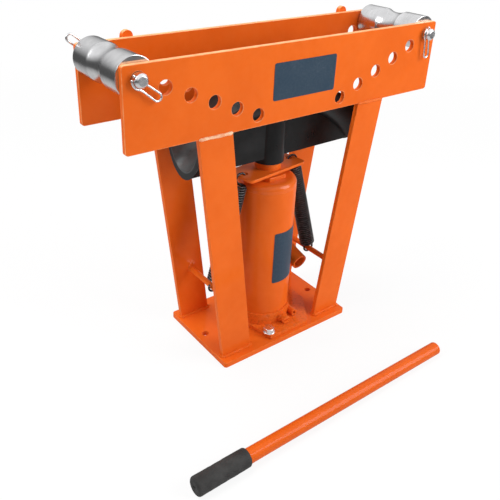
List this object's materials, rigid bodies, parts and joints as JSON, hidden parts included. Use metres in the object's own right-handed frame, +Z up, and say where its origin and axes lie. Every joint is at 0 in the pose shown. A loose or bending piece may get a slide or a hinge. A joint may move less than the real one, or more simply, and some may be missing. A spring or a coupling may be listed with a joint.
{
  "type": "hydraulic pipe bender",
  "caption": "Floor-standing hydraulic pipe bender: drilled side plates on a welded stand, a bottle jack under a grooved die, return springs, rollers on clipped pins and a loose handle.",
  "frame": {"origin": "middle of the base plate's underside", "axes": "+X along the side plates to the pump's side, +Y to the rear, +Z up"},
  "size_m": [0.6146, 0.36, 0.5438],
  "materials": {
    "orange_paint": "satin powder coat",
    "zinc": "zinc plated",
    "machined_steel": "ground",
    "black_casting": "black paint on a rough casting",
    "black_spring_steel": "black oxide",
    "rubber": "matt",
    "grip_foam": "matt foam"
  },
  "bodies": {
    "frame": {"base_plate": "orange_paint", "front_side_plate": "orange_paint", "rear_side_plate": "orange_paint", "left_rear_lug": "orange_paint", "right_rear_lug": "orange_paint", "front_left_leg": "orange_paint", "front_right_leg": "orange_paint", "rear_left_leg": "orange_paint", "rear_right_leg": "orange_paint", "left_spring_bar": "orange_paint", "right_spring_bar": "orange_paint", "jack_base": "orange_paint", "reservoir_tube": "orange_paint", "reservoir_cap": "orange_paint", "gland_nut": "orange_paint", "pump_body": "orange_paint", "fulcrum_post": "orange_paint", "front_jack_bolt": "zinc", "rear_jack_bolt": "zinc", "fulcrum_pin": "zinc", "left_roller_pin": "zinc", "right_roller_pin": "zinc", "left_front_clip": "zinc", "left_rear_clip": "zinc", "right_front_clip": "zinc", "right_rear_clip": "zinc", "pressure_tube": "machined_steel", "left_spring": "black_spring_steel", "right_spring": "black_spring_steel", "filler_plug": "rubber"},
    "ram": {"ram": "machined_steel", "piston": "machined_steel", "spring_bracket": "orange_paint"},
    "die": {"bending_die": "black_casting"},
    "left_roller": {"left_roller": "zinc"},
    "right_roller": {"right_roller": "zinc"},
    "lever": {"handle_socket": "orange_paint", "plunger_pin": "zinc"},
    "plunger": {"pump_plunger": "machined_steel"},
    "valve": {"release_valve": "orange_paint"},
    "handle": {"handle_tube": "orange_paint", "handle_grip": "grip_foam"}
  },
  "joints": [
    {"name": "ram_slide", "type": "slide", "parent": "frame", "child": "ram", "axis": [0, 0, 1], "range_m": [0, 0.165], "deforming": ["left_spring", "right_spring"]},
    {"name": "die_lift", "type": "slide", "parent": "ram", "child": "die", "axis": [0, 0, 1], "range_m": [0, 0.06]},
    {"name": "left_roller_spin", "type": "hinge", "parent": "frame", "child": "left_roller", "pos_m": [-0.2725, 0, 0.512], "axis": [0, 1, 0], "continuous": true},
    {"name": "right_roller_spin", "type": "hinge", "parent": "frame", "child": "right_roller", "pos_m": [0.2725, 0, 0.512], "axis": [0, 1, 0], "continuous": true},
    {"name": "lever_swing", "type": "hinge", "parent": "frame", "child": "lever", "pos_m": [0.07, 0.05, 0.126], "axis": [-1, 0, 0], "range_deg": [0, 30]},
    {"name": "plunger_slide", "type": "slide", "parent": "frame", "child": "plunger", "axis": [0, 0, 1], "range_m": [0, 0.0156]},
    {"name": "valve_turn", "type": "hinge", "parent": "frame", "child": "valve", "pos_m": [0.008, -0.065, 0.0275], "axis": [0, -1, 0], "range_deg": [0, 180]},
    {"name": "handle_lift", "type": "slide", "parent": "frame", "child": "handle", "axis": [0, 0, 1], "range_m": [0, 0.2]}
  ],
  "couplings": [
    {"joint": "plunger_slide", "follows": "lever_swing", "m_per_rad": 0.029658}
  ]
}
